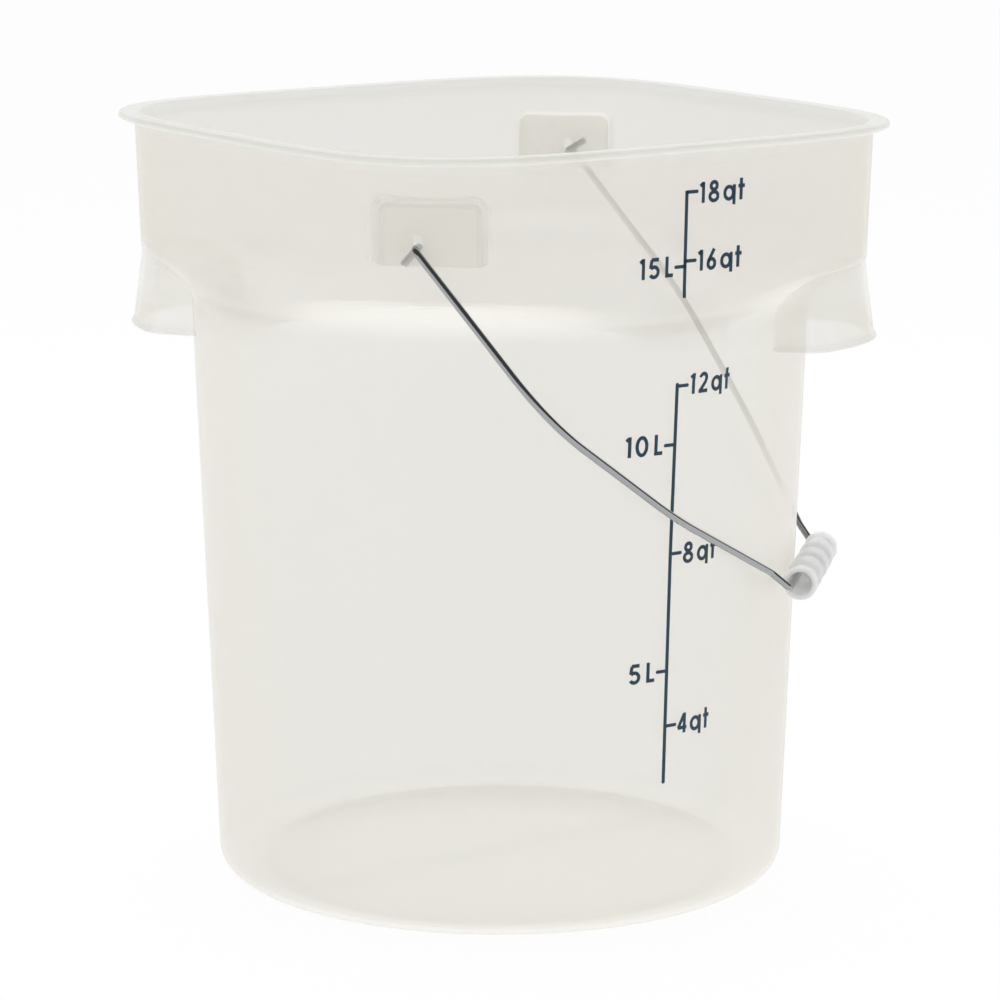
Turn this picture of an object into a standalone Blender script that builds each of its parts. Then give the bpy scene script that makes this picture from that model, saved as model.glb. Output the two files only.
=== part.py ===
"""A food storage pail: a round tapered tub whose top band opens out to a rounded square, with a rim
flange, a finger hood under each side corner, an ear hood on the front and back corners, a wire bail
hooked into the ears, and a loose tubular grip on the bail.

The base stands on Z = 0, the ears lie along Y and the finger hoods along X. Lengths are in metres."""

import math

import bmesh
import bpy
import numpy as np
from mathutils import Matrix, Vector

MM = 0.001

# Tub, all sizes on its outer skin
pail_height = 334 * MM
wall = 2.2 * MM
base_radius = 124.9 * MM
body_taper = 0.037
base_corner = 10.2 * MM
foot_ring_width = 14 * MM
base_rise = 3 * MM

# Shoulder, where the round body turns out under the corners of the band
shoulder_drop = 79.5 * MM
shoulder_foot = pail_height - shoulder_drop
shoulder_reach = 32 * MM
shoulder_rise = 20 * MM
shoulder_round = 5 * MM

# Band, a rounded square whose corners lie on X and Y and whose flats are nearly flush with the body
band_flat_inset = 2.76 * MM
band_half_width = base_radius + body_taper * pail_height - band_flat_inset
band_squareness = 4.26
band_corner = band_half_width * 2 ** (1 / 2 - 1 / band_squareness)
band_taper = 0.03

# Rim flange
rim_reach = 7 * MM
rim_thickness = 3 * MM
rim_edge_radius = 1.2 * MM

# Finger hoods under the side corners, open at the bottom
finger_hood_half_width = 48.5 * MM
finger_hood_drop = 58 * MM
finger_hood_height = 35.5 * MM
finger_hood_top = pail_height - finger_hood_drop
finger_hood_bottom = finger_hood_top - finger_hood_height
finger_hood_corner = 30 * MM
finger_hood_flare = 4 * MM
finger_hood_notch = 0.8 * MM
finger_hood_lip = 1 * MM
finger_hood_lip_height = 3 * MM
finger_hood_root = 16 * MM

# Ear hoods on the front and back corners, open at the bottom
ear_reach = 6.65 * MM
ear_face = band_corner + ear_reach
ear_shift = 2 * MM
ear_half_width = 20.7 * MM
ear_drop = 12.5 * MM
ear_height = 30 * MM
ear_top = pail_height - ear_drop
ear_bottom = ear_top - ear_height
ear_slope_drop = 7 * MM
ear_corner = 3.5 * MM
ear_root_corner = 9 * MM
ear_edge_round = 2.2 * MM
ear_flare = 10 * MM
ear_root_depth = 24.3 * MM
ear_hole_radius = 2.3 * MM
ear_hole_rise = 2.6 * MM
ear_hole_offset = 2.8 * MM
ear_hole_height = 7.9 * MM
ear_hole_depth = 3 * MM

# Bail wire
wire_diameter = 3 * MM
touch_gap = 0.3 * MM
bail_arm_clearance = 4.2 * MM
bail_length = 209 * MM
bail_run_half = 43 * MM
bail_knee_reach = 86.6 * MM
bail_knee_inset = 1.6 * MM
bail_waist_setback = 57.7 * MM
bail_waist_inset = 11.7 * MM
bail_waist_half = base_radius - bail_waist_inset
bail_crank_setback = 10.7 * MM
bail_crank_half = 49.5 * MM
bail_bow = 2.6 * MM
hook_length = 10 * MM
hook_lean = math.radians(8)
hook_clearance = 1.15 * MM
hook_bend = 2.5 * MM
elbow_bend = 3 * MM
knee_bend = 61 * MM
waist_bend = 153 * MM
crank_bend = 4 * MM

# Grip
grip_length = 76 * MM
grip_radius = 7.4 * MM
grip_bore_radius = 5.1 * MM
grip_groove_depth = 1.0 * MM
grip_edge_round = 1.2 * MM
grip_lobes = 4
grip_shift = 4 * MM

# Mesh fineness and the overrun of cutters
around = 72
corner_steps = 6
body_steps = 4
shoulder_steps = 6
band_step_shares = (0.04, 0.1, 0.3, 1)
rim_edge_steps = 4
finger_hood_steps = 25
ear_corner_steps = 5
hole_steps = 20
bend_steps = 5
wire_resolution = 3
grip_around = 32
grip_steps = 41
crease_angle = math.radians(40)
overrun = 6 * MM


def new_material(name, colour, roughness, metallic):
    material = bpy.data.materials.new(name)
    material.use_nodes = True
    shader = material.node_tree.nodes["Principled BSDF"]
    shader.inputs["Base Color"].default_value = (*colour, 1)
    shader.inputs["Roughness"].default_value = roughness
    shader.inputs["Metallic"].default_value = metallic
    return material


def new_object(name, mesh, material=None):
    thing = bpy.data.objects.new(name, mesh)
    bpy.context.scene.collection.objects.link(thing)
    if material:
        mesh.materials.append(material)
    return thing


def shade_round(mesh):
    mesh.shade_smooth()
    mesh.set_sharp_from_angle(angle=crease_angle)


def mesh_from_rings(name, rings):
    """A closed skin through rings of points with equal counts. The first and last rings are capped."""
    mesh = bpy.data.meshes.new(name)
    shape = bmesh.new()
    loops = [[shape.verts.new(point) for point in ring] for ring in rings]
    for lower, upper in zip(loops, loops[1:]):
        for i in range(len(lower)):
            j = (i + 1) % len(lower)
            shape.faces.new((lower[i], lower[j], upper[j], upper[i]))
    shape.faces.new(loops[0][::-1])
    shape.faces.new(loops[-1])
    bmesh.ops.recalc_face_normals(shape, faces=shape.faces)
    shape.to_mesh(mesh)
    shape.free()
    shade_round(mesh)
    return mesh


def helper(name, mesh):
    thing = new_object(name, mesh)
    thing.hide_render = True
    thing.display_type = "WIRE"
    return thing


def boolean(target, tool, operation):
    modifier = target.modifiers.new(f"{operation.lower()}_{tool.name}", "BOOLEAN")
    modifier.operation = operation
    modifier.solver = "EXACT"
    modifier.object = tool


def smooth_min(a, b, blend):
    """The lesser of two lengths, with the crossing rounded over the blend length."""
    share = np.clip(0.5 + 0.5 * (b - a) / blend, 0, 1)
    return b + (a - b) * share - blend * share * (1 - share)


def body_radius(z):
    return base_radius + body_taper * z


def band_radius(angle, z):
    """Polar radius of the rounded square, a superellipse turned so that its corners lie on the axes."""
    half_width = band_half_width - band_taper * (pail_height - rim_thickness - z)
    turned = angle - math.pi / 4
    flatness = np.abs(np.cos(turned)) ** band_squareness + np.abs(np.sin(turned)) ** band_squareness
    return half_width * flatness ** (-1 / band_squareness)


def shoulder_radius(z):
    """The turned shoulder: it leaves the body upright and sweeps outwards along a quarter ellipse."""
    climb = np.clip((z - shoulder_foot) / shoulder_rise, 0, 1)
    return body_radius(shoulder_foot) + shoulder_reach * (1 - np.sqrt(1 - climb**2))


def skin_radius(angle, z):
    """Outer radius above the shoulder's foot: the band, or the shoulder where that lies further in."""
    return smooth_min(band_radius(angle, z), shoulder_radius(z), shoulder_round)


def shoulder_sweep(angle):
    """How far round its quarter ellipse the shoulder goes before it meets the band at this angle."""
    reach = (band_radius(angle, shoulder_foot + shoulder_rise) - body_radius(shoulder_foot)) / shoulder_reach
    least_share, most_share = 0.02, 0.98
    return np.arccos(1 - np.clip(reach, least_share, most_share))


def skin_rings(inset=0):
    """Rings up the tub's skin from its foot to under the rim, moved in by the inset square to the skin."""
    angle = np.arange(around) * 2 * math.pi / around
    slope = math.atan(body_taper)
    foot_radius = body_radius(base_corner) - base_corner / math.cos(slope)
    radii, heights = [], []
    for turn in np.linspace(-math.pi / 2, -slope, corner_steps):
        radii.append(np.full(around, foot_radius + base_corner * math.cos(turn)))
        heights.append(np.full(around, base_corner * (1 + math.sin(turn))))
    corner_top = heights[-1]
    for share in np.linspace(0, 1, body_steps + 1)[1:]:
        heights.append(corner_top + (shoulder_foot - corner_top) * share)
        radii.append(body_radius(heights[-1]))
    sweep = shoulder_sweep(angle)
    for share in np.linspace(0, 1, shoulder_steps + 1)[1:]:
        heights.append(shoulder_foot + shoulder_rise * np.sin(sweep * share))
        radii.append(skin_radius(angle, heights[-1]))
    crease = heights[-1]
    for share in band_step_shares:
        heights.append(crease + (pail_height - rim_thickness - crease) * share)
        radii.append(skin_radius(angle, heights[-1]))
    radii, heights = np.array(radii), np.array(heights)
    run, climb = np.gradient(radii, axis=0), np.gradient(heights, axis=0)
    run[0], climb[0], run[-1] = 1, 0, 0
    length = np.hypot(run, climb)
    radii, heights = radii - inset * climb / length, heights + inset * run / length
    return [np.column_stack([r * np.cos(angle), r * np.sin(angle), z]) for r, z in zip(radii, heights)]


def outward(ring, distance, z):
    """A ring moved out along its own normal, at another height."""
    ahead = np.roll(ring, -1, axis=0) - np.roll(ring, 1, axis=0)
    normal = np.column_stack([ahead[:, 1], -ahead[:, 0]])
    normal /= np.hypot(normal[:, 0], normal[:, 1])[:, None]
    return np.column_stack([ring[:, :2] + normal * distance, np.full(len(ring), z)])


def dome_rings(foot, z):
    """The raised middle of the base, from a small centre ring out to the inner edge of the foot ring."""
    edge = math.hypot(foot[0][0], foot[0][1]) - foot_ring_width
    shares = (0.08, 0.4, 0.7, 1)
    rim = foot[:, :2] / (edge + foot_ring_width)
    return [np.column_stack([rim * edge * s, np.full(around, z + base_rise * (1 - s * s))]) for s in shares]


def tub_solid():
    """The tub's full outer volume, from its raised base to its rim, with no hollow."""
    skin = skin_rings()
    low, high = pail_height - rim_thickness, pail_height
    edge = []
    for turn in np.linspace(-math.pi / 2, math.pi / 2, rim_edge_steps):
        reach = rim_reach - rim_edge_radius + rim_edge_radius * math.cos(turn)
        edge.append(outward(skin[-1], reach, (low + high) / 2 + (high - low) / 2 * math.sin(turn)))
    return mesh_from_rings("tub_solid", dome_rings(skin[0], 0) + skin + edge)


def cavity_solid():
    """The tub's inside, carried up past the rim."""
    skin = skin_rings(wall)
    mouth = outward(skin[-1], 0, pail_height + overrun)
    return mesh_from_rings("cavity", dome_rings(skin[0], wall) + skin + [mouth])


def finger_hood_ring(offset, inset, z):
    """Plan of a finger hood: the band's corner cut off to the hood's width, with rounded corners."""
    reach = math.asin(finger_hood_half_width / (body_radius(z) - finger_hood_root))
    angle = np.linspace(-reach, reach, finger_hood_steps)
    least_sine_share = 0.1
    side = (finger_hood_half_width - inset) / np.maximum(np.abs(np.sin(angle)), least_sine_share)
    corner = band_radius(angle, shoulder_foot + shoulder_rise) + offset - inset
    radius = smooth_min(corner, side, finger_hood_corner)
    return np.column_stack([radius * np.cos(angle), radius * np.sin(angle), np.full(len(angle), z)])


def finger_hood(name):
    """A hood wall open below. Its ceiling is the shoulder that it is moulded onto."""
    lip = finger_hood_bottom + finger_hood_lip_height
    hood = helper(name, mesh_from_rings(name, [
        finger_hood_ring(finger_hood_flare, -finger_hood_lip, finger_hood_bottom),
        finger_hood_ring(finger_hood_flare, 0, lip),
        finger_hood_ring(-finger_hood_notch, 0, finger_hood_top),
    ]))
    hollow = helper(name + "_hollow", mesh_from_rings(name + "_hollow", [
        finger_hood_ring(finger_hood_flare, wall, finger_hood_bottom - overrun),
        finger_hood_ring(finger_hood_flare, wall, lip),
        finger_hood_ring(-finger_hood_notch, wall, finger_hood_top + overrun),
    ]))
    hollow.parent = hood
    boolean(hood, hollow, "DIFFERENCE")
    return hood


def ear_ring(y, shift, half_width, top, bottom, corner):
    """Front view of an ear hood: upright sides, rounded top corners and a straight bottom edge."""
    points = [(shift - half_width, y, bottom), (shift + half_width, y, bottom)]
    for side, start in ((1, 0), (-1, math.pi / 2)):
        for turn in np.linspace(start, start + math.pi / 2, ear_corner_steps):
            x = shift + side * (half_width - corner) + corner * math.cos(turn)
            points.append((x, y, top - corner + corner * math.sin(turn)))
    return points


def ear_hood(name, shift):
    """A box hood that widens towards the band, with a sloping top, open below and backed by the band's
    own wall."""
    root = -(ear_face - ear_root_depth)
    edge = -(ear_face - ear_edge_round)
    root_half_width, face_top = ear_half_width + ear_flare, ear_top - ear_slope_drop
    hood = helper(name, mesh_from_rings(name, [
        ear_ring(root, shift, root_half_width, ear_top, ear_bottom, ear_root_corner),
        ear_ring(edge, shift, ear_half_width, face_top + ear_edge_round, ear_bottom, ear_corner),
        ear_ring(-ear_face, shift, ear_half_width - ear_edge_round, face_top, ear_bottom,
                 ear_corner - ear_edge_round),
    ]))
    inner_face, open_end = -(ear_face - wall), ear_bottom - overrun
    hollow = helper(name + "_hollow", mesh_from_rings(name + "_hollow", [
        ear_ring(root + overrun, shift, root_half_width - wall, ear_top - wall, open_end,
                 ear_root_corner - wall),
        ear_ring(inner_face, shift, ear_half_width - wall, face_top - wall, open_end, ear_corner - wall),
    ]))
    hollow.parent = hood
    boolean(hood, hollow, "DIFFERENCE")
    return hood


def ear_hole_ring(y):
    """Front view of the hole in an ear's face: an upright slot with round ends."""
    points = []
    for centre, start in ((ear_hole_height, math.pi), (ear_hole_height + ear_hole_rise, 0)):
        for turn in np.linspace(start, start + math.pi, hole_steps // 2 + 1):
            x = -ear_hole_offset + ear_hole_radius * math.cos(turn)
            points.append((x, y, ear_bottom + centre + ear_hole_radius * math.sin(turn)))
    return points


def ear_hole(name):
    """Cuts through an ear's face. It stops in the ear's hollow, short of the band's wall."""
    middle = -(ear_face - wall / 2)
    return helper(name, mesh_from_rings(name, [
        ear_hole_ring(middle + ear_hole_depth), ear_hole_ring(middle - ear_hole_depth)
    ]))


def half_turn(thing):
    """Turns a helper half a turn about the tub's axis, from the front to the back or from +X to -X."""
    thing.matrix_basis = Matrix.Rotation(math.pi, 4, "Z") @ thing.matrix_basis
    return thing


def make_pail_body():
    """One moulding: the tub with its rim, then the hoods fused on, then its inside and the holes cut."""
    body = new_object("pail_body", tub_solid(), new_material("polypropylene", (0.84, 0.83, 0.80), 0.4, 0))
    hoods = [finger_hood("right_finger_hood"), ear_hood("front_ear", ear_shift)]
    hoods += [half_turn(finger_hood("left_finger_hood")), half_turn(ear_hood("back_ear", -ear_shift))]
    for hood in hoods:
        boolean(body, hood, "UNION")
    cutters = [helper("cavity", cavity_solid()), ear_hole("front_hole"), half_turn(ear_hole("back_hole"))]
    for cutter in cutters:
        boolean(body, cutter, "DIFFERENCE")


def rounded_path(corners, bends):
    """A path through the corners, each turned on an arc of its own bend radius."""
    path = [Vector(corners[0])]
    for before, corner, after, bend in zip(corners, corners[1:], corners[2:], bends):
        corner = Vector(corner)
        back, ahead = (Vector(before) - corner).normalized(), (Vector(after) - corner).normalized()
        half = back.angle(ahead) / 2
        centre = corner + (back + ahead).normalized() * bend / math.sin(half)
        start, end = corner + back * bend / math.tan(half), corner + ahead * bend / math.tan(half)
        turn = math.pi - 2 * half
        for step in range(bend_steps):
            share = step / (bend_steps - 1)
            first, last = math.sin((1 - share) * turn), math.sin(share * turn)
            path.append(centre + ((start - centre) * first + (end - centre) * last) / math.sin(turn))
    path.append(Vector(corners[-1]))
    return path


def bail_side(side):
    """Corners and bends of one half of the bail, from the hook's tip to the middle run, in its own frame:
    X runs out from the pivot, Y along it and Z square to the bail."""
    hook_y = side * (ear_face - wall - hook_clearance - wire_diameter / 2)
    arm_y = side * (ear_face + bail_arm_clearance + wire_diameter / 2)

    def bowed(reach, y):
        return (reach, y, -bail_bow * math.sin(math.pi * reach / bail_length))

    tip = (hook_length * math.sin(hook_lean), hook_y, side * hook_length * math.cos(hook_lean))
    waist = bowed(bail_length - bail_waist_setback, side * bail_waist_half)
    crank = bowed(bail_length - bail_crank_setback, side * bail_crank_half)
    knee = bowed(bail_knee_reach, arm_y - side * bail_knee_inset)
    corners = [tip, (0, hook_y, 0), (0, arm_y, 0), knee, waist, crank,
               (bail_length, side * bail_run_half, 0)]
    return corners, [hook_bend, elbow_bend, knee_bend, waist_bend, crank_bend, crank_bend]


def make_bail(pivot_height, rest_angle, skew):
    """One length of round steel wire, with its origin on the line through the two ear holes."""
    front, bends = bail_side(-1)
    back, _ = bail_side(1)
    curve = bpy.data.curves.new("bail_wire", "CURVE")
    curve.dimensions = "3D"
    curve.bevel_depth = wire_diameter / 2
    curve.bevel_resolution = wire_resolution
    curve.use_fill_caps = True
    path = rounded_path(front + back[::-1], bends + bends[::-1])
    spline = curve.splines.new("POLY")
    spline.points.add(len(path) - 1)
    for point, place in zip(spline.points, path):
        point.co = (*place, 1)
    bail = new_object("bail_wire", curve, new_material("zinc_plated_steel", (0.55, 0.55, 0.53), 0.25, 1))
    bail.location.z = pivot_height
    bail.rotation_euler = (0, rest_angle, -skew)
    return bail


def make_grip(bail, rest_angle, slack):
    """A lobed tube turned about its own axis. At rest the bail presses it against the tub's side."""
    outline = []
    for share in np.linspace(0, 1, grip_steps):
        y = grip_length * (share - 0.5)
        groove = (0.5 - 0.5 * math.cos(2 * math.pi * grip_lobes * share)) ** 2
        rounding = max(0, grip_edge_round - (grip_length / 2 - abs(y)))
        edge = grip_edge_round - math.sqrt(grip_edge_round**2 - rounding**2)
        outline.append((grip_radius - grip_groove_depth * groove - edge, y))
    outline += [(grip_bore_radius, grip_length / 2), (grip_bore_radius, -grip_length / 2)]
    mesh = bpy.data.meshes.new("hand_grip")
    shape = bmesh.new()
    loops = []
    for i in range(grip_around):
        turn = 2 * math.pi * i / grip_around
        loops.append([shape.verts.new((r * math.cos(turn), y, r * math.sin(turn))) for r, y in outline])
    for i, loop in enumerate(loops):
        following = loops[(i + 1) % grip_around]
        for j in range(len(loop)):
            k = (j + 1) % len(loop)
            shape.faces.new((loop[j], loop[k], following[k], following[j]))
    bmesh.ops.recalc_face_normals(shape, faces=shape.faces)
    shape.to_mesh(mesh)
    shape.free()
    shade_round(mesh)
    grip = new_object("hand_grip", mesh, new_material("moulded_white_plastic", (0.83, 0.83, 0.83), 0.35, 0))
    grip.parent = bail
    grip.location = (bail_length + slack * math.cos(rest_angle), grip_shift, slack * math.sin(rest_angle))


for old in list(bpy.data.objects):
    bpy.data.objects.remove(old)

make_pail_body()
pivot_height = ear_bottom + ear_hole_height - (ear_hole_radius - wire_diameter / 2 - touch_gap)
skew = math.atan2(ear_hole_offset, ear_face - wall / 2)
slack = grip_bore_radius - wire_diameter / 2 - touch_gap
leaning_reach = body_radius(pivot_height) + grip_radius + touch_gap - slack
rest_angle = math.atan(body_taper) + math.acos(leaning_reach / (bail_length * math.hypot(1, body_taper)))
make_grip(make_bail(pivot_height, rest_angle, skew), rest_angle, slack)
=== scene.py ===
"""A translucent food storage pail with a printed volume scale, a hooked wire bail and a lobed grip.

The pieces are made in the order in which the real pail is made and put together: the moulded tub, the
print on its side, the wire, then the grip. Lengths are in metres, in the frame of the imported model."""

import math

import bpy
import numpy as np
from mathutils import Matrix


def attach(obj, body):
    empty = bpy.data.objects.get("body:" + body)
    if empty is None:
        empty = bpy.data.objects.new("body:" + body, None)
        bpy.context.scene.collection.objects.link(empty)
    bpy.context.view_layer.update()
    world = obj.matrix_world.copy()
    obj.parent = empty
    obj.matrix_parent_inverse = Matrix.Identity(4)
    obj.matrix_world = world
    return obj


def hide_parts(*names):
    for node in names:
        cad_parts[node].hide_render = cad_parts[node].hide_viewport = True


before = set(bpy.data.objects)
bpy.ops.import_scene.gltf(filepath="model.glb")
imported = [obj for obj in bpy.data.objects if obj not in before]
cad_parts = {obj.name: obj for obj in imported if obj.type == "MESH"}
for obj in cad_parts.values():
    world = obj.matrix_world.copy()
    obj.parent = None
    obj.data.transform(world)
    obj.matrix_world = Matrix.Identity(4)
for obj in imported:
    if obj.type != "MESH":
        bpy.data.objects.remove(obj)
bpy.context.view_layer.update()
MM = 0.001


# Camera: a long lens a little above the rim, turned a few degrees to the right of the front ear.
# It stands where the printed scale and the outlines of the photograph put it.
camera_distance = 1774.7 * MM
camera_height = 528.8 * MM
camera_azimuth = math.radians(10.241)
camera_pitch = math.radians(11.641)
camera_sensor_mm = 36
camera_lens_mm = 147.79


def put(name, data):
    """A new object in the scene, unturned and at the origin."""
    made = bpy.data.objects.new(name, data)
    bpy.context.scene.collection.objects.link(made)
    return made


camera = put("camera", bpy.data.cameras.new("camera"))
camera.data.sensor_width = camera_sensor_mm
camera.data.lens = camera_lens_mm
camera.location = (
    camera_distance * math.sin(camera_azimuth), -camera_distance * math.cos(camera_azimuth), camera_height
)
camera.rotation_euler = (math.pi / 2 - camera_pitch, 0, camera_azimuth)
bpy.context.scene.camera = camera
bpy.context.scene.view_settings.view_transform = "Standard"


# Studio: a wide matt white table in front of an even white sweep, dimmer on the camera's side. The camera and
# clear plastic see the table and the sweep as white, and so do metal and gloss, except that the room around
# the sweep is dark in them: it blackens the upper side of the wire. The table keeps the pail's shadow.
table_half_width = 12
table_white_share = 0.91
table_reflectance = 0.9
sweep_level = 1.05
front_level = 0.5
front_point = (0.9, 0.44)
front_cosines = (0.2, 1.0)
room_level = 0.1
far_point = (-1.0, 0.0)
far_cosines = (0.5, 0.95)
softbox_size = 1.6
softbox_watts = 13
softbox_place = (-0.1, 0.1, 1.7)


def add(tree, kind, inputs, **settings):
    """Adds one node with its settings. Each input is a value for that socket, or a socket to link to it."""
    made = tree.nodes.new(kind)
    for name, value in settings.items():
        setattr(made, name, value)
    for name, value in inputs.items():
        if isinstance(value, bpy.types.NodeSocket):
            tree.links.new(value, made.inputs[name])
        else:
            made.inputs[name].default_value = value
    return made


sweep = bpy.data.worlds.new("white_sweep")
bpy.context.scene.world = sweep
sweep.use_nodes = True
tree = sweep.node_tree
tree.nodes.clear()
direction = add(tree, "ShaderNodeTexCoord", {})


def eased_towards(point, cosines, away_level, towards_level):
    """A level that eases from one value to another as a direction turns towards a point, between two cosines.
    The point lies in the upright plane through the camera: across to the camera's side, and up."""
    across, up = point
    point = (across * math.sin(camera_azimuth), -across * math.cos(camera_azimuth), up)
    facing = add(tree, "ShaderNodeVectorMath", {0: direction.outputs["Generated"], 1: point},
                 operation="DOT_PRODUCT")
    return add(tree, "ShaderNodeMapRange", {
        "Value": facing.outputs["Value"], "From Min": cosines[0], "From Max": cosines[1],
        "To Min": away_level, "To Max": towards_level,
    }, interpolation_type="SMOOTHSTEP")


level = eased_towards(front_point, front_cosines, sweep_level, front_level)
shown = eased_towards(far_point, far_cosines, room_level, 1.0)
path = add(tree, "ShaderNodeLightPath", {})
clear = add(tree, "ShaderNodeMath", {0: shown.outputs["Result"], 1: path.outputs["Is Transmission Ray"]},
            operation="MULTIPLY")
through = add(tree, "ShaderNodeMix", {"Factor": clear.outputs["Value"], "A": level.outputs["Result"], "B": 1.0})
reflected = add(tree, "ShaderNodeMix", {"Factor": path.outputs["Is Glossy Ray"],
                                        "A": through.outputs["Result"], "B": shown.outputs["Result"]})
strength = add(tree, "ShaderNodeMix", {"Factor": path.outputs["Is Camera Ray"],
                                       "A": reflected.outputs["Result"], "B": 1.0})
glow = add(tree, "ShaderNodeBackground", {"Color": (1, 1, 1, 1), "Strength": strength.outputs["Result"]})
add(tree, "ShaderNodeOutputWorld", {"Surface": glow.outputs["Background"]})

matt_white = bpy.data.materials.new("matt_white_table")
matt_white.use_nodes = True
tree = matt_white.node_tree
tree.nodes.clear()
path = add(tree, "ShaderNodeLightPath", {})
reflected = add(tree, "ShaderNodeMath", {0: path.outputs["Is Glossy Ray"], 1: path.outputs["Is Transmission Ray"]},
                operation="ADD")
seen = add(tree, "ShaderNodeMath", {0: reflected.outputs["Value"], 1: path.outputs["Is Camera Ray"]},
           operation="ADD", use_clamp=True)
share = add(tree, "ShaderNodeMath", {0: seen.outputs["Value"], 1: table_white_share}, operation="MULTIPLY")
lit = add(tree, "ShaderNodeBsdfDiffuse", {"Color": (*[table_reflectance] * 3, 1)})
white = add(tree, "ShaderNodeEmission", {"Color": (1, 1, 1, 1), "Strength": 1.0})
mixed = add(tree, "ShaderNodeMixShader", {"Fac": share.outputs["Value"], 1: lit.outputs["BSDF"],
                                          2: white.outputs["Emission"]})
add(tree, "ShaderNodeOutputMaterial", {"Surface": mixed.outputs["Shader"]})

table_mesh = bpy.data.meshes.new("table_top")
corner = table_half_width
table_mesh.from_pydata([(-corner, -corner, 0), (corner, -corner, 0), (corner, corner, 0), (-corner, corner, 0)],
                       [], [(0, 1, 2, 3)])
table_mesh.materials.append(matt_white)
table_top = put("table_top", table_mesh)

overhead = put("overhead_softbox", bpy.data.lights.new("overhead_softbox", "AREA"))
overhead.data.size = softbox_size
overhead.data.energy = softbox_watts
overhead.location = softbox_place
overhead.visible_glossy = False


# Tub: one injection moulding in natural, undyed polypropylene, milky and see-through. The round body
# tapers down to a foot ring, and a turned shoulder carries the rounded square band and its flat rim.
pail_height = 334 * MM
wall = 2.2 * MM
base_radius = 124.9 * MM
body_taper = 0.037
base_corner = 10.2 * MM
foot_ring_width = 11 * MM
base_rise = 1.8 * MM
base_step = 0.9 * MM
shoulder_foot = 254.5 * MM
shoulder_reach = 32 * MM
shoulder_rise = 20 * MM
shoulder_round = 5 * MM
band_half_width = 134.5 * MM
band_squareness = 4.26
band_taper = 0.03
rim_reach = 7 * MM
rim_thickness = 3 * MM
rim_edge_radius = 1.2 * MM
rim_root_radius = 0.8 * MM
rim_mouth_radius = 0.9 * MM
overrun = 6 * MM
touch = 0.001 * MM
columns = 320
corner_rows = 12
body_rows = 24
shoulder_rows = 30
band_rows = 24
band_crowding = 1.6
shoulder_gap_limits = (0.02, 0.98)
dish_rings = (0.02, 0.5)
step_rows = 9
tub_crease = math.radians(32)

round_angle = np.arange(columns) * 2 * math.pi / columns


def body_radius(z):
    """The body's taper: its radius grows steadily with height."""
    return base_radius + body_taper * z


def smooth_min(a, b, blend):
    """The lesser of two lengths, with the crossing rounded over the blend length."""
    share = np.clip(0.5 + 0.5 * (b - a) / blend, 0, 1)
    return b + (a - b) * share - blend * share * (1 - share)


def band_radius(angle, z):
    """Polar radius of a superellipse whose corners lie on X and Y, widening a little with height."""
    half_width = band_half_width - band_taper * (pail_height - rim_thickness - z)
    turned = angle - math.pi / 4
    flatness = np.abs(np.cos(turned)) ** band_squareness + np.abs(np.sin(turned)) ** band_squareness
    return half_width * flatness ** (-1 / band_squareness)


def skin_radius(angle, z):
    """Outer polar radius at any height. Above the shoulder's foot a quarter ellipse sweeps out from the
    body until it meets the band, and the crossing is rounded. Where the band's flats lie inside the body,
    the skin leans in to them by the cube polynomial of an ease."""
    climb = np.clip((z - shoulder_foot) / shoulder_rise, 0, 1)
    ease = climb**2 * (3 - 2 * climb)
    body = body_radius(np.minimum(z, shoulder_foot))
    shoulder = body + shoulder_reach * (1 - np.sqrt(1 - climb**2))
    band = band_radius(angle, z)
    band = band + np.maximum(body - band, 0) * (1 - ease)
    return smooth_min(band, shoulder, np.maximum(shoulder_round * np.minimum(4 * ease, 1), touch))


def polar(angle, radius, z):
    """Polar radii and heights as a grid of points, rows by angles by three."""
    angle, radius, z = np.broadcast_arrays(angle, radius, z)
    return np.stack([radius * np.cos(angle), radius * np.sin(angle), z], axis=-1)


def quarter_turn(steps):
    """Angles from 0 to a right angle, in equal steps."""
    return np.linspace(0, math.pi / 2, steps + 1)


def skin_grid(top):
    """The tub's outer skin from its foot up to a height: a corner arc in the meridian, the tapered body,
    the shoulder by the sine of its sweep, then the band with its rows crowded at the crease."""
    slope = math.atan(body_taper)
    turn = np.linspace(-math.pi / 2, -slope, corner_rows)[:, None]
    foot_radius = body_radius(base_corner) - base_corner / math.cos(slope)
    arc = polar(round_angle, foot_radius + base_corner * np.cos(turn), base_corner * (1 + np.sin(turn)))
    corner_top = base_corner * (1 - math.sin(slope))
    z = corner_top + (shoulder_foot - corner_top) * np.linspace(0, 1, body_rows)[1:, None]
    body = polar(round_angle, body_radius(z), z)
    gap = (band_radius(round_angle, shoulder_foot + shoulder_rise) - body_radius(shoulder_foot)) / shoulder_reach
    sweep = np.arccos(1 - np.clip(gap, *shoulder_gap_limits))
    z = shoulder_foot + shoulder_rise * np.sin(sweep * np.linspace(0, 1, shoulder_rows)[1:, None])
    shoulder = polar(round_angle, skin_radius(round_angle, z), z)
    z = z[-1] + (top - z[-1]) * np.linspace(0, 1, band_rows)[1:, None] ** band_crowding
    return np.concatenate([arc, body, shoulder, polar(round_angle, skin_radius(round_angle, z), z)])


def inwards(grid, distance):
    """A grid of rings moved in along its own normals, the cross products of its two tangents."""
    up = np.gradient(grid, axis=0)
    along = np.roll(grid, -1, axis=1) - np.roll(grid, 1, axis=1)
    normal = np.cross(along, up)
    return grid - distance * normal / np.linalg.norm(normal, axis=-1, keepdims=True)


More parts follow.
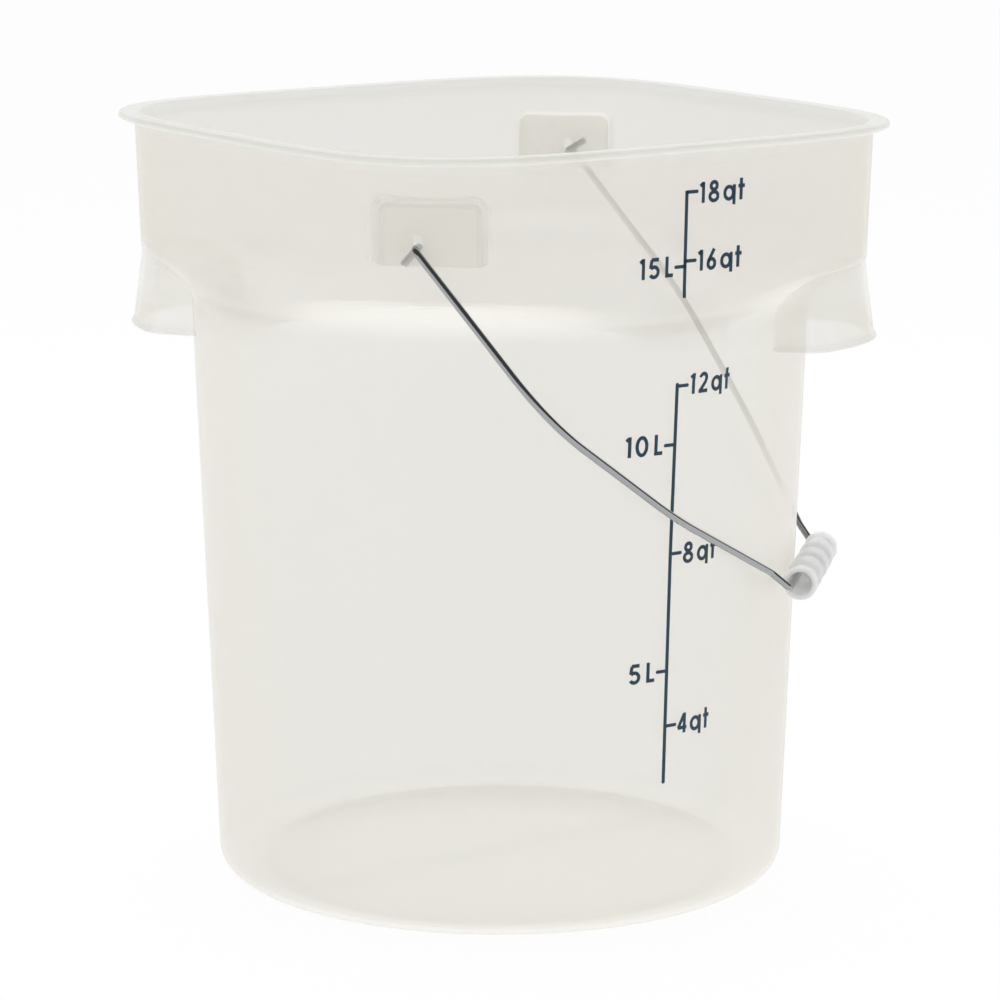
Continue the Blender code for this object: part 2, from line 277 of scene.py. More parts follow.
def rim_rows(ring, reaches, heights):
    """Copies of a level ring moved out by each reach along its plan normals and set at each height."""
    ahead = np.roll(ring, -1, axis=0) - np.roll(ring, 1, axis=0)
    normal = np.stack([ahead[:, 1], -ahead[:, 0], np.zeros(len(ring))], axis=-1)
    normal /= np.linalg.norm(normal, axis=-1, keepdims=True)
    rows = ring + normal * np.asarray(reaches)[:, None, None]
    rows[..., 2] = np.asarray(heights)[:, None]
    return rows


def dish_rows(z):
    """The flat raised middle of the base, from its centre out, and the round-edged step down to the foot
    ring, by a cosine ease."""
    edge = body_radius(base_corner) - base_corner - foot_ring_width
    ease = np.linspace(0, 1, step_rows)
    radius = np.concatenate([edge * np.array(dish_rings), edge + base_step * (ease - 1)])
    rise = np.concatenate([[1, 1], 0.5 + 0.5 * np.cos(math.pi * ease)])
    return polar(round_angle, radius[:, None], z + base_rise * rise[:, None])


def grid_mesh(name, grid, closed_rows=False):
    """A mesh from rings of points, with quads between rings. The last ring joins the first one again,
    or else each end is closed by one face."""
    rows, count = grid.shape[:2]
    start = count * np.arange(rows if closed_rows else rows - 1)[:, None]
    ring = np.arange(count)
    following, above = np.roll(ring, -1), (start + count) % (rows * count)
    quads = np.stack([start + ring, start + following, above + following, above + ring], axis=-1)
    faces = quads.reshape(-1, 4).tolist()
    if not closed_rows:
        faces += [ring[::-1].tolist(), (ring + count * (rows - 1)).tolist()]
    mesh = bpy.data.meshes.new(name)
    mesh.from_pydata(grid.reshape(-1, 3), [], faces)
    return mesh


def solid(name, grid):
    """A solid to join or cut with, made from rings and kept out of the render."""
    thing = put(name, grid_mesh(name, grid))
    thing.hide_render = True
    return thing


def combine(target, tool, operation):
    """Joins a solid to the target or cuts it away. The tool isn't needed afterwards."""
    modifier = target.modifiers.new(tool.name, "BOOLEAN")
    modifier.operation = operation
    modifier.solver = "MANIFOLD"
    modifier.object = tool
    graph = bpy.context.evaluated_depsgraph_get()
    joined = bpy.data.meshes.new_from_object(target.evaluated_get(graph))
    target.modifiers.clear()
    target.data = joined
    bpy.data.objects.remove(tool)


outer = skin_grid(pail_height - rim_thickness - rim_root_radius)
turn = quarter_turn(4)[1:]
root_reach = rim_root_radius * (1 - np.cos(turn))
root_z = pail_height - rim_thickness - rim_root_radius * (1 - np.sin(turn))
turn = np.linspace(-math.pi / 2, math.pi / 2, 11)
edge_reach = rim_reach - rim_edge_radius + rim_edge_radius * np.cos(turn)
edge_z = pail_height - rim_thickness / 2 + rim_thickness / 2 * np.sin(turn)
flange = rim_rows(outer[-1], np.append(root_reach, edge_reach), np.append(root_z, edge_z))
pail = solid("moulded_tub", np.concatenate([dish_rows(0), outer, flange]))

inner = inwards(skin_grid(pail_height - rim_mouth_radius), wall)
turn = quarter_turn(5)[1:]
mouth_reach = rim_mouth_radius * (1 - np.cos(turn))
mouth_z = pail_height - rim_mouth_radius * (1 - np.sin(turn))
mouth = rim_rows(inner[-1], np.append(mouth_reach, mouth_reach[-1]), np.append(mouth_z, pail_height + overrun))
cavity = solid("cavity", np.concatenate([dish_rows(wall), inner, mouth]))


# Finger hoods: a wall hanging under each side corner of the band, open below, so that fingers reach up
# behind it to lift the pail. It flares outwards a little and ends in a rounded lip.
finger_hood_half_width = 48.5 * MM
finger_hood_bottom = 240.5 * MM
finger_hood_top = 276 * MM
finger_hood_corner = 30 * MM
finger_hood_flare = 4 * MM
finger_hood_notch = 0.8 * MM
finger_hood_lip = 1 * MM
finger_hood_lip_height = 3 * MM
finger_hood_edge_round = 0.8 * MM
finger_hood_root = 16 * MM
finger_hood_columns = 121
finger_hood_lip_rows = 8
finger_hood_wall_rows = 20
least_sine = 0.1


def finger_hood_rows(inset, z):
    """Plans of a hood, one for each height: the band's corner cut off to the hood's width, with the two
    corners rounded. Lower plans reach further out by the flare."""
    inset, z = np.broadcast_arrays(inset, z)
    inset, z = inset[:, None], z[:, None]
    reach = np.arcsin(finger_hood_half_width / (body_radius(z) - finger_hood_root))
    angle = reach * np.linspace(-1, 1, finger_hood_columns)
    climb = (z - finger_hood_bottom) / (finger_hood_top - finger_hood_bottom)
    offset = finger_hood_flare - (finger_hood_flare + finger_hood_notch) * climb
    side = (finger_hood_half_width - inset) / np.maximum(np.abs(np.sin(angle)), least_sine)
    corner = band_radius(angle, shoulder_foot + shoulder_rise) + offset - inset
    return polar(angle, smooth_min(corner, side, finger_hood_corner), z)


def half_turned(grid):
    """The same grid after half a turn about the tub's axis."""
    return grid * (-1, -1, 1)


turn = quarter_turn(5)
edge_inset = finger_hood_edge_round * (1 - np.sin(turn))
edge_rise = finger_hood_edge_round * (1 - np.cos(turn))
lip_share = np.linspace(0, 1, finger_hood_lip_rows)
lip_z = finger_hood_edge_round + (finger_hood_lip_height - finger_hood_edge_round) * lip_share
lip_out = finger_hood_lip * (0.5 + 0.5 * np.cos(math.pi * lip_share))
wall_z = np.linspace(finger_hood_lip_height, finger_hood_top - finger_hood_bottom, finger_hood_wall_rows)[1:]
outside = finger_hood_rows(
    np.concatenate([edge_inset - finger_hood_lip, -lip_out[1:], 0 * wall_z]),
    finger_hood_bottom + np.concatenate([edge_rise, lip_z[1:], wall_z]),
)
hollow_z = np.concatenate([[-overrun], edge_rise, wall_z, wall_z[-1:] + overrun])
hollow_inset = wall - np.interp(hollow_z, edge_rise, edge_inset)
hollow = finger_hood_rows(hollow_inset, finger_hood_bottom + hollow_z)
for side, place in (("right", lambda grid: grid), ("left", half_turned)):
    hood = solid(side + "_finger_hood", place(outside))
    combine(hood, solid(side + "_finger_space", place(hollow)), "DIFFERENCE")
    combine(pail, hood, "UNION")


# Ear hoods: a small box on the front and back corners of the band, open below, that widens towards the
# band and has a sloping top. An upright slot with round ends near its lower edge takes the wire.
ear_face = 168.3 * MM
ear_shift = 2 * MM
ear_half_width = 20.7 * MM
ear_flare = 6.5 * MM
ear_bottom = 291.5 * MM
ear_top = 321.5 * MM
ear_face_top = 314.5 * MM
ear_corner = 3.5 * MM
ear_root_corner = 12 * MM
ear_edge_round = 2.2 * MM
ear_fillet = 1.2 * MM
ear_lean = 4.8 * MM
ear_root = 144 * MM
ear_hole_radius = 2.3 * MM
ear_hole_rise = 2.6 * MM
ear_hole_offset = 2.8 * MM
ear_hole_height = 7.9 * MM
ear_hole_depth = 3 * MM
ear_angle_reach = 0.25
ear_angle_points = 81
ear_slot_points = 25
ear_top_columns = 27
ear_depth_rows = 120


def ear_rows(depth, inset, fillet, lean):
    """Front views of an ear, one for each distance from the tub's axis: a box with round top corners, drawn
    in by its inset, that spreads along a quarter circle where it comes within a fillet of the band. Its
    root stands to the left of its face by the lean."""
    depth, inset = depth[:, None], inset[:, None]
    stations = [ear_root, ear_face - ear_edge_round]
    half = np.interp(depth, stations, [ear_half_width + ear_flare, ear_half_width]) - inset
    top = np.interp(depth, stations, [ear_top, ear_face_top + ear_edge_round]) - inset
    corner = np.interp(depth, stations, [ear_root_corner, ear_corner]) - inset
    shift = ear_shift - np.interp(depth, stations, [lean, 0])
    turn = quarter_turn(11)
    flat_share = np.linspace(1, -1, ear_top_columns)[1:-1]
    flat, base = 0 * flat_share, 0 * half + ear_bottom
    x = np.concatenate([half, half - corner + corner * np.cos(turn), (half - corner) * flat_share,
                        corner - half - corner * np.sin(turn), -half], axis=1)
    z = np.concatenate([base, top - corner + corner * np.sin(turn), top + flat,
                        top - corner + corner * np.cos(turn), base], axis=1)
    out_x = np.concatenate([[1], np.cos(turn), flat, -np.sin(turn), [-1]])
    out_z = np.concatenate([[0], np.sin(turn), flat + 1, np.cos(turn), [0]])
    corner_angle = np.linspace(-ear_angle_reach, ear_angle_reach, ear_angle_points)
    band = band_radius(corner_angle, (ear_bottom + ear_top) / 2)
    band_depth = np.interp(shift + x, band * np.sin(corner_angle), band * np.cos(corner_angle))
    near = np.clip(fillet - (depth - band_depth), 0, fillet)
    spread = fillet - np.sqrt(fillet**2 - near**2)
    return np.stack([shift + x + out_x * spread, -depth + 0 * x, z + out_z * spread], axis=-1)


def mirrored(grid):
    """The same grid on the other side of the X axis, turned round so that its faces still look outwards."""
    return grid[:, ::-1] * (1, -1, 1)


turn = quarter_turn(7)
edge_depth = ear_face - ear_edge_round * (1 - np.sin(turn))
edge_inset = ear_edge_round * (1 - np.cos(turn))
ear_depth = np.linspace(ear_root, ear_face - ear_edge_round, ear_depth_rows)[:-1]
hollow_depth = np.append(ear_depth[ear_depth > ear_root + overrun], ear_face - wall)
turn = np.linspace(0, math.pi, ear_slot_points)
slot_x = np.append(ear_hole_radius * np.cos(turn), -ear_hole_radius * np.cos(turn)) - ear_hole_offset
slot_z = np.append(ear_hole_rise + ear_hole_radius * np.sin(turn), -ear_hole_radius * np.sin(turn))
slot_depth = ear_face - wall / 2 + ear_hole_depth * np.array([-1, 1])[:, None]
slot = np.stack(np.broadcast_arrays(slot_x, -slot_depth, ear_bottom + ear_hole_height + slot_z), axis=-1)
holes = []
for side, lean, place, turned in (("front", ear_lean, lambda grid: grid, lambda grid: grid),
                                  ("back", 0, mirrored, half_turned)):
    outside = ear_rows(np.append(ear_depth, edge_depth), np.append(0 * ear_depth, edge_inset), ear_fillet, lean)
    hollow = ear_rows(hollow_depth, 0 * hollow_depth + wall, 0, lean)
    hollow[:, [0, -1], 2] -= overrun
    ear = solid(side + "_ear", place(outside))
    combine(ear, solid(side + "_ear_space", place(hollow)), "DIFFERENCE")
    combine(pail, ear, "UNION")
    holes.append(solid(side + "_ear_hole", turned(slot)))
for cut in [cavity, *holes]:
    combine(pail, cut, "DIFFERENCE")


def shade_round(mesh, crease):
    """Smooth shading that keeps the edges that turn by more than the crease angle."""
    mesh.shade_smooth()
    mesh.set_sharp_from_angle(angle=crease)


pail.name = "pail_moulding"
pail.hide_render = False
shade_round(pail.data, tub_crease)

# Where the wall looks thick, and where its colour carries painted shade: the band down to its crease with the
# shoulder, the hoods' roots, and the base. The ears take a smaller share of it, so they are painted lighter than
# the band.
thick_fade = 8 * MM
base_thickness_and_shade = 0.9
ear_thickness_and_shade = 0.4
touch_gap = 0.3 * MM
base_step_share = 1.0
ear_side_share = 0.6
rim_slant_share = 0.7


def mark(name, values):
    """Keeps a value for each point of the tub, for its material to read."""
    pail.data.attributes.new(name, "FLOAT", "POINT").data.foreach_set("value", values.astype(np.float32))


place = np.empty(len(pail.data.vertices) * 3, np.float32)
pail.data.vertices.foreach_get("co", place)
x, y, z = place.reshape(-1, 3).T
angle = np.arctan2(y, x)
climb = np.clip((z - shoulder_foot) / shoulder_rise, 0, 1)
shoulder = body_radius(shoulder_foot) + shoulder_reach * (1 - np.sqrt(1 - climb**2))
past_crease = 2 * (shoulder - band_radius(angle, z)) / thick_fade + (z - shoulder_foot) / thick_fade + 0.5
ring_radius = body_radius(base_corner) - base_corner - foot_ring_width
in_base = (ring_radius - np.hypot(x, y)) / touch + 1
# Painted shade: the base's raised middle is painted a darker cream than the foot ring.
thickness_and_shade = np.clip(np.where(z < base_corner, base_thickness_and_shade * np.minimum(in_base, 1), past_crease), 0, 1)
on_ear = (np.hypot(x, y) > band_radius(angle, z) + touch_gap) & (np.abs(x) < 2 * ear_half_width)
on_ear &= (z > ear_bottom - touch) & (z < pail_height - rim_thickness - rim_root_radius)
thickness_and_shade[on_ear] = ear_thickness_and_shade
mark("thickness_and_shade", thickness_and_shade)

# Where the milk is seen edge-on, less clear and painted greyer and darker as shade: the flat rim, the step round
# the base, which shows as a painted dark line, and the ears' sides and tops between the band and the face.
on_ear_side = on_ear & (np.abs(y) < ear_face - wall - touch)
on_rim = z > pail_height - rim_thickness - rim_root_radius - touch
on_step = (z < base_rise + touch) & (np.abs(np.hypot(x, y) - ring_radius + base_step / 2) < base_step / 2 - touch)
# Painted shade: the base step and the ears' sides get part of the darker edge-on milk, the rim all of it.
edge_on_and_shade = np.where(on_step, base_step_share, ear_side_share * on_ear_side)
mark("edge_on_and_shade", np.where(on_rim, 1, edge_on_and_shade))

# Where the wall stays clear when it is seen aslant: the shoulder, where it thins, the base and, in part, the rim.
shoulder_top = shoulder_foot + shoulder_rise
clear_aslant = np.clip(np.minimum(z - shoulder_foot, shoulder_top - z) / shoulder_round + 1, 0, 1)
clear_aslant = np.where(z < base_corner, np.clip(in_base, 0, 1), clear_aslant)
clear_aslant[on_rim] = rim_slant_share
mark("clear_aslant", clear_aslant)


def linear(code):
    """A six-digit sRGB hex colour as linear red, green, blue and alpha."""
    srgb = np.array([int(code[i:i + 2], 16) for i in (0, 2, 4)]) / 255
    rgb = np.where(srgb <= 0.04045, srgb / 12.92, ((srgb + 0.055) / 1.055) ** 2.4)
    return (*rgb.tolist(), 1)


# Natural polypropylene: a milky skin that lets part of the light straight through and scatters the rest both
# ways, so what stands behind it shows pale and soft. It turns milkier where it is seen aslant, under a satin
# gloss that grows there too. Its thicker parts, which are the band with its hoods and the base, are creamier and
# less clear, and their colour is also painted darker as shade. Where it is seen edge-on, at the rim, the base step
# and the ears' sides, it is less clear and is painted greyer and darker as shade.
clarity = 0.74
edge_clarity = 0.15
aslant_clarity = 0.75
thick_clarity = 0.92
edge_on_clarity = 0.7
milk_through = 0.72
body_milk = linear("FDFBF4")
# Painted shade: the band with its hoods and the base are painted a darker cream than the body.
creamy_shaded_milk = linear("F5F2EA")
# Painted shade: where the wall is seen edge-on, it is painted a greyer, darker milk.
edge_on_shaded_milk = linear("F0F0EC")
slant_power = 3.0
satin_roughness = 0.28
gloss_power = 5.0
gloss_facing = 0.04
gloss_aslant = 0.4
mottle_per_metre = 260.0
mottle_detail = 2.0
mottle_strength = 0.06
mottle_height = 0.2 * MM
clear_layers = 32

polypropylene = bpy.data.materials.new("natural_polypropylene_moulding")
polypropylene.use_nodes = True
tree = polypropylene.node_tree
tree.nodes.clear()
coords = add(tree, "ShaderNodeTexCoord", {})
mottle = add(tree, "ShaderNodeTexNoise", {"Vector": coords.outputs["Object"], "Scale": mottle_per_metre,
                                          "Detail": mottle_detail})
bump = add(tree, "ShaderNodeBump", {"Strength": mottle_strength, "Distance": mottle_height,
                                    "Height": mottle.outputs["Fac"]})
marks = {name: add(tree, "ShaderNodeAttribute", {}, attribute_name=name).outputs["Fac"]
         for name in ("thickness_and_shade", "edge_on_and_shade", "clear_aslant")}
# The milk's colour: the body's, with painted shade darkening the thicker parts and the edge-on parts.
milk_colour = body_milk
for name, colour in (("thickness_and_shade", creamy_shaded_milk), ("edge_on_and_shade", edge_on_shaded_milk)):
    tinted = add(tree, "ShaderNodeMix", {"Factor": marks[name], 6: milk_colour, 7: colour}, data_type="RGBA")
    milk_colour = tinted.outputs[2]
lit = add(tree, "ShaderNodeBsdfDiffuse", {"Color": milk_colour, "Normal": bump.outputs["Normal"]})
through = add(tree, "ShaderNodeBsdfTranslucent", {"Color": milk_colour, "Normal": bump.outputs["Normal"]})
milk = add(tree, "ShaderNodeMixShader", {"Fac": milk_through, 1: lit.outputs["BSDF"], 2: through.outputs["BSDF"]})
clear = add(tree, "ShaderNodeBsdfTransparent", {"Color": (1, 1, 1, 1)})
facing = add(tree, "ShaderNodeLayerWeight", {"Blend": 0.5, "Normal": bump.outputs["Normal"]})
slant = add(tree, "ShaderNodeMath", {0: facing.outputs["Facing"], 1: slant_power}, operation="POWER")
slanted = add(tree, "ShaderNodeMapRange", {"Value": marks["clear_aslant"], "To Min": edge_clarity,
                                           "To Max": aslant_clarity})
clear_share = add(tree, "ShaderNodeMapRange", {"Value": slant.outputs["Value"], "To Min": clarity,
                                               "To Max": slanted.outputs["Result"]}).outputs["Result"]
for name, kept in (("thickness_and_shade", thick_clarity), ("edge_on_and_shade", edge_on_clarity)):
    clouded = add(tree, "ShaderNodeMapRange", {"Value": marks[name], "To Min": 1.0, "To Max": kept})
    clear_share = add(tree, "ShaderNodeMath", {0: clear_share, 1: clouded.outputs["Result"]},
                      operation="MULTIPLY").outputs["Value"]
sheet = add(tree, "ShaderNodeMixShader", {"Fac": clear_share, 1: milk.outputs["Shader"], 2: clear.outputs["BSDF"]})
edge = add(tree, "ShaderNodeMath", {0: facing.outputs["Facing"], 1: gloss_power}, operation="POWER")
gloss_share = add(tree, "ShaderNodeMapRange", {"Value": edge.outputs["Value"], "To Min": gloss_facing,
                                               "To Max": gloss_aslant})
gloss = add(tree, "ShaderNodeBsdfGlossy", {"Color": (1, 1, 1, 1), "Roughness": satin_roughness,
                                           "Normal": bump.outputs["Normal"]})
surface = add(tree, "ShaderNodeMixShader", {"Fac": gloss_share.outputs["Result"], 1: sheet.outputs["Shader"],
                                            2: gloss.outputs["BSDF"]})
add(tree, "ShaderNodeOutputMaterial", {"Surface": surface.outputs["Shader"]})
bpy.context.scene.cycles.transparent_max_bounces = clear_layers
pail.data.materials.clear()
pail.data.materials.append(polypropylene)
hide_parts("pail_body")
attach(pail, "pail")


# Volume scale: dark blue-grey ink screen-printed on the skin, right of the front ear. An upright line runs
# down the band and the body, with quarts ticked to its right and litres to its left.
letter_height = 8.7 * MM
letter_stroke = 1.6 * MM
line_stroke = 1.7 * MM
tick_stroke = 1.5 * MM
quart_tick = 5.2 * MM
litre_tick = 4.7 * MM
tick_text_gap = 0.6 * MM
ink_lift = 0.06 * MM
ink_roughness = 0.45
line_heights = np.array([64, 163, 235, 270, 315]) * MM
line_angles = np.radians([-47.15, -47.1, -46.7, -45.1, -45.1])
upper_line = (314.6 * MM, 270.3 * MM)
lower_line = (234.6 * MM, 64.3 * MM)
arc_points = 33
points_per_line = 12


def arc(centre_x, centre_z, radius_x, radius_z, start, end):
    """Points on an ellipse between two angles in degrees."""
    turn = np.radians(np.linspace(start, end, arc_points))
    return np.stack([centre_x + radius_x * np.cos(turn), centre_z + radius_z * np.sin(turn)], axis=-1)


def line(*corners):
    """Points along straight strokes through the corners, close enough together to follow the skin."""
    corners = np.array(corners, float)
    share = np.linspace(0, len(corners) - 1, points_per_line * (len(corners) - 1) + 1)
    return np.stack([np.interp(share, range(len(corners)), corners[:, k]) for k in (0, 1)], axis=-1)


# Each character's width and strokes, in cap heights from its left edge and the baseline. Half a stroke's
# width is h.
h = letter_stroke / letter_height / 2
characters = {
    "0": (0.70, [arc(0.35, 0.5, 0.35 - h, 0.515 - h, 0, 360)]),
    "1": (0.30, [line((0.22, 0), (0.22, 1)), line((0.03, 0.81), (0.22, 0.94))]),
    "2": (0.60, [np.concatenate([arc(0.30, 0.70, 0.29 - h, 0.31 - h, 165, -38), line((0.46, 0.54), (0.10, h))]),
                 line((0.02, h), (0.58, h))]),
    "4": (0.55, [line((0.42, 0), (0.42, 1)), line((0.40, 0.95), (0.05, 0.27)), line((0.02, 0.27), (0.57, 0.27))]),
    "5": (0.64, [line((0.58, 1 - h), (0.16, 1 - h)), line((0.18, 1 - h), (0.11, 0.50)),
                 arc(0.31, 0.32, 0.33 - h, 0.335 - h, 140, -150)]),
    "6": (0.58, [arc(0.29, 0.30, 0.29 - h, 0.315 - h, 0, 360), line((0.10, 0.40), (0.44, 1))]),
    "8": (0.65, [arc(0.325, 0.28, 0.325 - h, 0.30 - h, 0, 360), arc(0.325, 0.78, 0.27 - h, 0.27 - h, 0, 360)]),
    "L": (0.46, [line((h, 1), (h, 0)), line((h, h), (0.46, h))]),
    "q": (0.73, [arc(0.34, 0.37, 0.34 - h, 0.385 - h, 0, 360), line((0.73 - h, 0.755), (0.73 - h, -0.2))]),
    "t": (0.38, [line((0.17, 1.04), (0.17, 0)), line((0, 0.665), (0.38, 0.665))]),
    " ": (0.10, []),
}

# The gaps between characters, in cap heights: the usual one, and those after a space and a q.
character_gap = 0.22
gap_after = {" ": 0.0, "q": 0.14}


def lay_out(label):
    """A label's strokes in metres, from its left edge and baseline, and its width."""
    strokes, x = [], 0.0
    for before, character in zip(" " + label, label):
        x += gap_after.get(before, character_gap) if x else 0.0
        width, own = characters[character]
        strokes += [(stroke + (x, 0)) * letter_height for stroke in own]
        x += width
    return strokes, x * letter_height


def ribbon(points, stroke, round_ends):
    """A stroke as two rows of points on each side of its centre line, with round or square ends."""
    points = np.asarray(points, float)
    ahead = np.gradient(points, axis=0)
    ahead /= np.linalg.norm(ahead, axis=-1, keepdims=True)
    half = np.full(len(points), stroke / 2)
    if round_ends:
        turn = quarter_turn(6)[1:, None]
        past, narrow = stroke / 2 * np.sin(turn), stroke / 2 * np.cos(turn[:, 0])
        points = np.concatenate([(points[0] - ahead[0] * past)[::-1], points, points[-1] + ahead[-1] * past])
        half = np.concatenate([narrow[::-1], half, narrow])
        ends = np.ones_like(turn)
        ahead = np.concatenate([ends * ahead[0], ahead, ends * ahead[-1]])
    aside = np.stack([-ahead[:, 1], ahead[:, 0]], axis=-1) * half[:, None]
    return np.stack([points + aside, points - aside], axis=1)


def on_skin(flat):
    """Flat print coordinates, across from the upright line and up from the foot, laid just off the skin."""
    across, z = flat[..., 0], flat[..., 1]
    angle = np.interp(z, line_heights, line_angles)
    angle = angle + across / skin_radius(angle, z)
    return polar(angle, skin_radius(angle, z) + ink_lift, z)


ribbons = [ribbon(line(*((0, z) for z in ends)), line_stroke, round_ends)
           for ends, round_ends in ((upper_line, False), (lower_line, True))]

# Each mark: its label, its height, the side of the line that it stands on, and how far the label's baseline
# lies below the tick, in cap heights.
for label, height, side, drop in (
    ("18qt", 314.0 * MM, 1, 0.58), ("16qt", 285.5 * MM, 1, 0.53), ("12qt", 234.0 * MM, 1, 0.47),
    ("8qt", 163.0 * MM, 1, 0.56), ("4qt", 88.6 * MM, 1, 0.49),
    ("15 L", 283.4 * MM, -1, 0.45), ("10 L", 209.5 * MM, -1, 0.43), ("5 L", 112.7 * MM, -1, 0.46),
):
    tick = quart_tick if side > 0 else litre_tick
    ribbons.append(ribbon(line((0, height), (side * tick, height)), tick_stroke, True))
    strokes, width = lay_out(label)
    left = tick + tick_stroke / 2 + tick_text_gap
    left = left if side > 0 else -left - width
    ribbons += [ribbon(stroke + (left, height - drop * letter_height), letter_stroke, False) for stroke in strokes]

points, faces, first = [], [], 0
for strip in ribbons:
    points.append(on_skin(strip).reshape(-1, 3))
    start = first + 2 * np.arange(len(strip) - 1)
    faces += np.stack([start + 1, start + 3, start + 2, start], axis=-1).tolist()
    first += 2 * len(strip)
print_mesh = bpy.data.meshes.new("volume_scale_print")
print_mesh.from_pydata(np.concatenate(points), [], faces)
volume_scale = put("volume_scale_print", print_mesh)


def principled(name, **sockets):
    """A material of one Principled shader, with values for its sockets by name."""
    made = bpy.data.materials.new(name)
    made.use_nodes = True
    for socket, value in sockets.items():
        made.node_tree.nodes["Principled BSDF"].inputs[socket.replace("_", " ")].default_value = value
    return made


# Screen ink: a thin, half-matt film that covers the plastic fully in a dark blue-grey.
ink = principled("blue_grey_screen_ink", Base_Color=linear("0C3A4E"), Roughness=ink_roughness)
print_mesh.materials.append(ink)
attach(volume_scale, "pail")


# Bail: one length of round zinc-plated steel wire, 3 mm thick. It is bent to follow the tub, stepped in at
# the grip, and each end is hooked in through the hole of an ear.
wire_radius = 1.5 * MM
wire_roughness = 0.14
wire_bevel_steps = 6
bail_arm_clearance = 4.2 * MM
bail_length = 209 * MM
bail_run_half = 43 * MM
bail_knee_reach = 86.6 * MM
bail_knee_inset = 1.6 * MM
bail_waist_reach = 151.3 * MM
bail_waist_half = 113.2 * MM
bail_crank_reach = 198.3 * MM
bail_crank_half = 49.5 * MM
bail_bow = 2.6 * MM
hook_length = 10 * MM
hook_lean = math.radians(8)
hook_clearance = 1.15 * MM
hook_bends = [2.5 * MM, 3 * MM]
arm_bends = [61 * MM, 153 * MM, 4 * MM, 4 * MM]
points_per_bend = 20
pivot_height = ear_bottom + ear_hole_height - (ear_hole_radius - wire_radius - touch_gap)
grip_radius = 7.4 * MM
grip_bore_radius = 5.1 * MM
slack = grip_bore_radius - wire_radius - touch_gap
skew = math.atan2(ear_hole_offset, ear_face - wall / 2)
leaning_reach = body_radius(pivot_height) + grip_radius + touch_gap - slack
bail_drop = math.atan(body_taper) + math.acos(leaning_reach / (bail_length * math.hypot(1, body_taper)))


def rounded_path(corners, bends):
    """A path through the corners, each turned on an arc of its own bend radius."""
    corners = np.array(corners)
    path = [corners[:1]]
    for before, corner, after, bend in zip(corners, corners[1:], corners[2:], bends):
        back, ahead = before - corner, after - corner
        back, ahead = back / np.linalg.norm(back), ahead / np.linalg.norm(ahead)
        half = math.acos(back @ ahead) / 2
        centre = corner + (back + ahead) / np.linalg.norm(back + ahead) * bend / math.sin(half)
        start, end = corner + back * bend / math.tan(half), corner + ahead * bend / math.tan(half)
        turn = math.pi - 2 * half
        share = np.linspace(0, 1, points_per_bend)[:, None]
        first, last = np.sin((1 - share) * turn), np.sin(share * turn)
        path.append(centre + ((start - centre) * first + (end - centre) * last) / math.sin(turn))
    return np.concatenate([*path, corners[-1:]])


def bail_side(side):
    """Corners of one half of the bail from the hook's tip to the middle run, in the bail's own frame: X runs
    out from the pivot, Y along it and Z square to both. The wire is bowed a little out of its plane."""
    hook_y = side * (ear_face - wall - hook_clearance - wire_radius)
    arm_y = side * (ear_face + bail_arm_clearance + wire_radius)
    tip = (hook_length * math.sin(hook_lean), hook_y, side * hook_length * math.cos(hook_lean))
    bowed = [(reach, y, -bail_bow * math.sin(math.pi * reach / bail_length)) for reach, y in (
        (bail_knee_reach, arm_y - side * bail_knee_inset), (bail_waist_reach, side * bail_waist_half),
        (bail_crank_reach, side * bail_crank_half))]
    return [tip, (0, hook_y, 0), (0, arm_y, 0), *bowed, (bail_length, side * bail_run_half, 0)]


def swung(points):
    """Points of the bail's own frame where the hanging bail has them."""
    down = np.array([[math.cos(bail_drop), 0, math.sin(bail_drop)], [0, 1, 0],
                     [-math.sin(bail_drop), 0, math.cos(bail_drop)]])
    turned = np.array([[math.cos(skew), math.sin(skew), 0], [-math.sin(skew), math.cos(skew), 0], [0, 0, 1]])
    return points @ down.T @ turned.T + (0, 0, pivot_height)


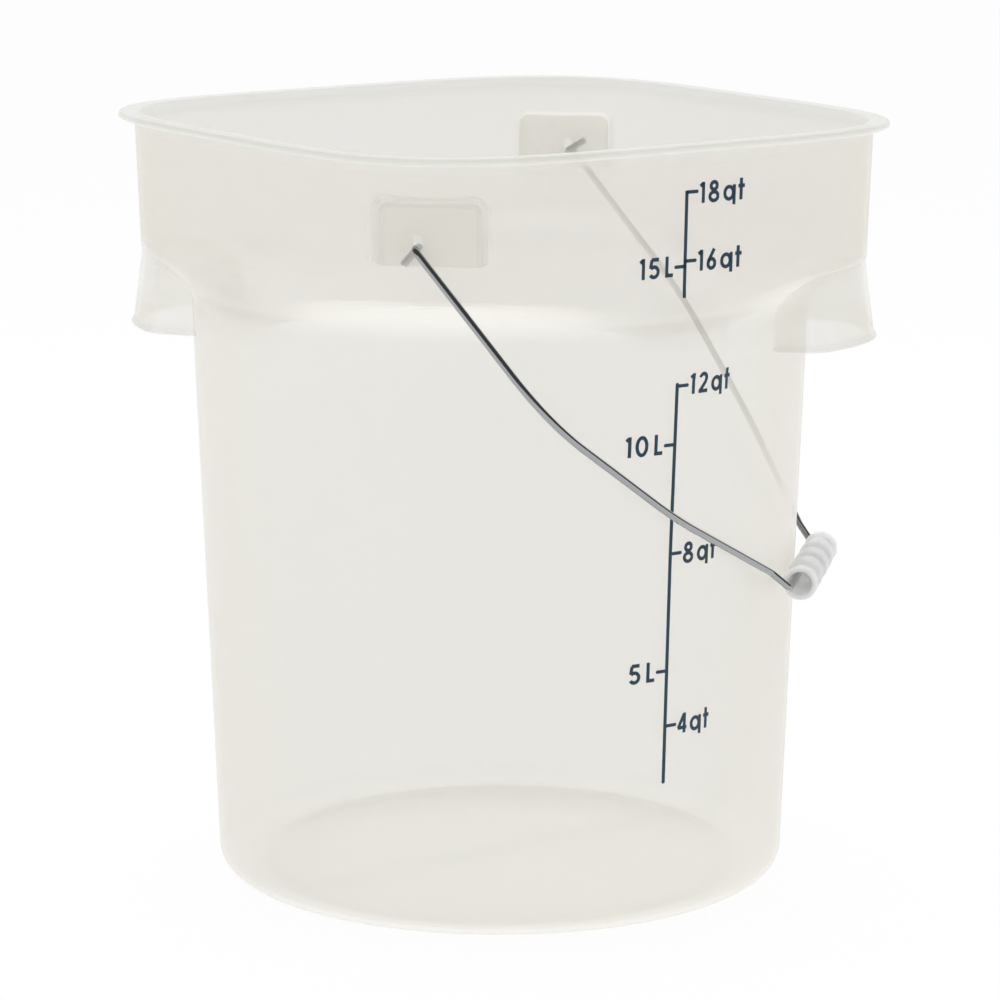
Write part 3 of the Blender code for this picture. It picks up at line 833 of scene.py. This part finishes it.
bends = [*hook_bends, *arm_bends]
bail_path = swung(rounded_path(bail_side(-1) + bail_side(1)[::-1], [*bends, *bends[::-1]]))
bail_curve = bpy.data.curves.new("bail_wire_bent", "CURVE")
bail_curve.dimensions = "3D"
bail_curve.bevel_depth = wire_radius
bail_curve.bevel_resolution = wire_bevel_steps
bail_curve.use_fill_caps = True
spline = bail_curve.splines.new("POLY")
spline.points.add(len(bail_path) - 1)
spline.points.foreach_set("co", np.append(bail_path, np.ones((len(bail_path), 1)), axis=1).ravel())
bail = put("bail_wire_bent", bail_curve)

# Bright zinc plate: a nearly mirror-smooth grey metal, which shows the white sweep and the dark room beside it
# as long streaks.
zinc = principled("zinc_plated_drawn_steel", Base_Color=linear("A6A8AA"), Metallic=1.0, Roughness=wire_roughness)
bail_curve.materials.append(zinc)
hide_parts("bail_wire")
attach(bail, "bail")


# Grip: a white polyethylene tube with four swells, slid over the wire before the bail was bent, so it turns
# and slides freely. It rests against the tub's side with the wire in the corner of its bore.
grip_length = 76 * MM
grip_groove_depth = 1.0 * MM
grip_edge_round = 1.2 * MM
grip_lobes = 4
grip_shift = 4 * MM
grip_crease = math.radians(40)
grip_roughness = 0.35
grip_soak_depth = 12 * MM
grip_rings = 161
grip_columns = 64

share = np.linspace(0, 1, grip_rings)
y = grip_length * (share - 0.5)
groove = (0.5 - 0.5 * np.cos(2 * math.pi * grip_lobes * share)) ** 2
rounding = np.maximum(0, grip_edge_round - (grip_length / 2 - np.abs(y)))
edge = grip_edge_round - np.sqrt(grip_edge_round**2 - rounding**2)
radius = np.concatenate([grip_radius - grip_groove_depth * groove - edge, [grip_bore_radius] * 2])[::-1]
along = np.concatenate([y, [grip_length / 2, -grip_length / 2]])[::-1]
turn = np.arange(grip_columns) * 2 * math.pi / grip_columns
grid = np.stack(np.broadcast_arrays(radius[:, None] * np.cos(turn), along[:, None],
                                    radius[:, None] * np.sin(turn)), axis=-1)
grip_centre = (bail_length + slack * math.cos(bail_drop), grip_shift, slack * math.sin(bail_drop))
grip = put("grip_tube", grid_mesh("grip_tube", swung(grid + grip_centre), True))
shade_round(grip.data, grip_crease)

# White polyethylene: a waxy white. Light soaks into it for some millimetres, which softens the swells and
# brings the light on the outside through to the bore.
polyethylene = principled(
    "white_polyethylene_moulding", Base_Color=linear("FDFCFE"), Roughness=grip_roughness, Subsurface_Weight=1.0,
    Subsurface_Radius=(1, 1, 1), Subsurface_Scale=grip_soak_depth)
grip.data.materials.append(polyethylene)
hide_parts("hand_grip")
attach(grip, "grip")
